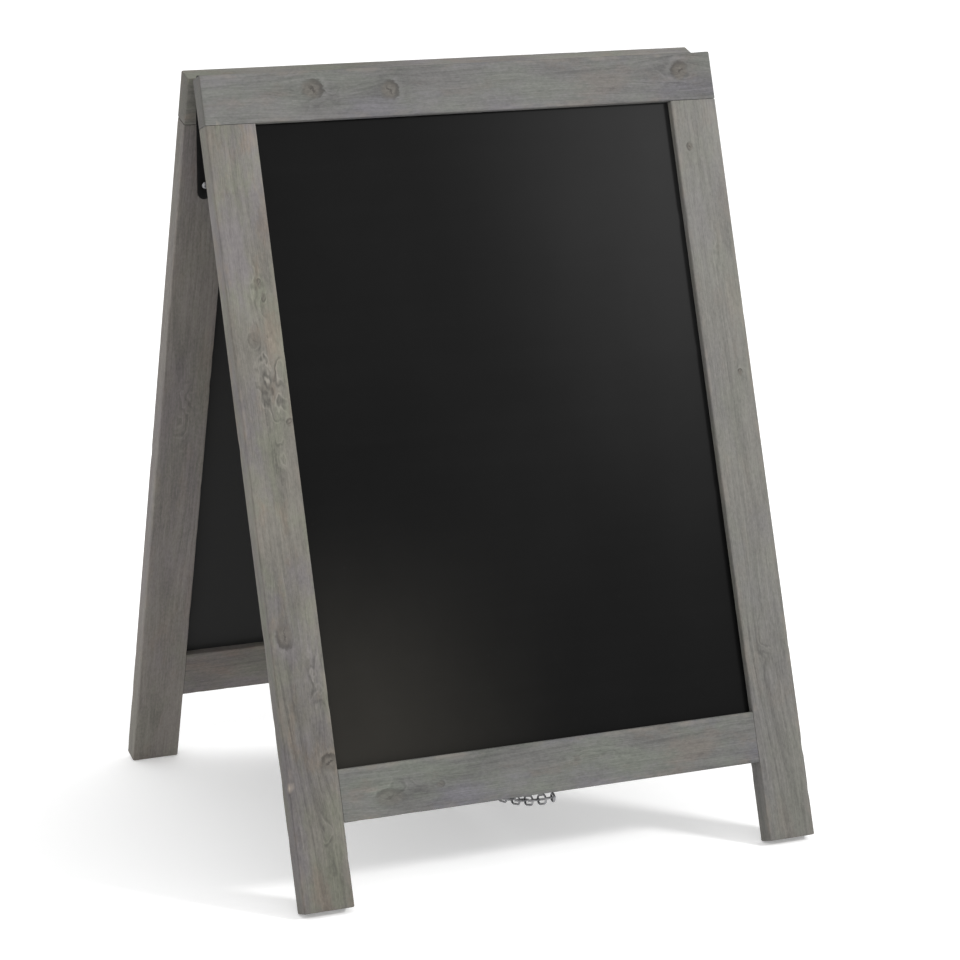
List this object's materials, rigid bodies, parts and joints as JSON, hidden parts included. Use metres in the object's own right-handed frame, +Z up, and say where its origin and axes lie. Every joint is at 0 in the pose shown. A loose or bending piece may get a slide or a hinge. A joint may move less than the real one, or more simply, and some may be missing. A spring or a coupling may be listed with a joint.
{
  "type": "sandwich board",
  "caption": "Folding A-frame sandwich board: framed chalkboards hinged along the top edge, held apart at the foot by a hanging chain.",
  "frame": {"origin": "centre of the footprint on the floor, under the hinge axis", "axes": "+X to the board's right seen from the front, +Y from the front frame to the rear frame, +Z up"},
  "size_m": [0.58, 0.5852, 0.8157],
  "materials": {
    "stained_wood": "grey-brown wiping stain over softwood, matt",
    "chalkboard": "black chalkboard coating, satin",
    "hinge_black": "black japanned steel",
    "pin_steel": "dark steel",
    "zinc": "bright zinc plating"
  },
  "bodies": {
    "front_frame": {"front_top_rail": "stained_wood", "front_left_stile": "stained_wood", "front_right_stile": "stained_wood", "front_bottom_rail": "stained_wood", "front_panel": "chalkboard", "chain_eye_front": "zinc", "hinge_left_front_leaf": "hinge_black", "screw_left_front_1": "zinc", "screw_left_front_2": "zinc", "screw_left_front_3": "zinc", "hinge_right_front_leaf": "hinge_black", "screw_right_front_1": "zinc", "screw_right_front_2": "zinc", "screw_right_front_3": "zinc", "hinge_left_pin": "pin_steel", "hinge_right_pin": "pin_steel"},
    "rear_frame": {"rear_top_rail": "stained_wood", "rear_left_stile": "stained_wood", "rear_right_stile": "stained_wood", "rear_bottom_rail": "stained_wood", "rear_panel": "chalkboard", "chain_eye_rear": "zinc", "hinge_left_rear_leaf": "hinge_black", "screw_left_rear_1": "zinc", "screw_left_rear_2": "zinc", "screw_left_rear_3": "zinc", "hinge_right_rear_leaf": "hinge_black", "screw_right_rear_1": "zinc", "screw_right_rear_2": "zinc", "screw_right_rear_3": "zinc"},
    "chain_front_strand": {"chain_link_01": "zinc", "chain_link_02": "zinc", "chain_link_03": "zinc", "chain_link_04": "zinc", "chain_link_05": "zinc", "chain_link_06": "zinc", "chain_link_07": "zinc", "chain_link_08": "zinc", "chain_link_09": "zinc", "chain_link_10": "zinc", "chain_link_11": "zinc", "chain_link_12": "zinc", "chain_link_13": "zinc"},
    "chain_bend": {"chain_link_14": "zinc", "chain_link_15": "zinc", "chain_link_16": "zinc"},
    "chain_rear_strand": {"chain_link_17": "zinc", "chain_link_18": "zinc", "chain_link_19": "zinc", "chain_link_20": "zinc", "chain_link_21": "zinc", "chain_link_22": "zinc", "chain_link_23": "zinc", "chain_link_24": "zinc", "chain_link_25": "zinc", "chain_link_26": "zinc", "chain_link_27": "zinc", "chain_link_28": "zinc", "chain_link_29": "zinc"}
  },
  "joints": [
    {"name": "fold", "type": "hinge", "parent": "front_frame", "child": "rear_frame", "pos_m": [0, 0, 0.80695], "axis": [1, 0, 0], "range_deg": [-36.2, 0]},
    {"name": "front_strand_turn", "type": "hinge", "parent": "front_frame", "child": "chain_front_strand", "pos_m": [0, -0.2527, 0.07668], "axis": [1, 0, 0], "range_deg": [-98.23, 0]},
    {"name": "bend_turn", "type": "hinge", "parent": "chain_front_strand", "child": "chain_bend", "pos_m": [0, -0.02524, 0.02574], "axis": [1, 0, 0], "range_deg": [0, 78.59]},
    {"name": "rear_strand_turn", "type": "hinge", "parent": "chain_bend", "child": "chain_rear_strand", "pos_m": [0, 0.02524, 0.02574], "axis": [1, 0, 0], "range_deg": [0, 81.69]}
  ],
  "couplings": [
    {"joint": "front_strand_turn", "follows": "fold", "ratio": 2.7132},
    {"joint": "bend_turn", "follows": "fold", "ratio": -2.1706},
    {"joint": "rear_strand_turn", "follows": "fold", "ratio": -2.2561}
  ]
}
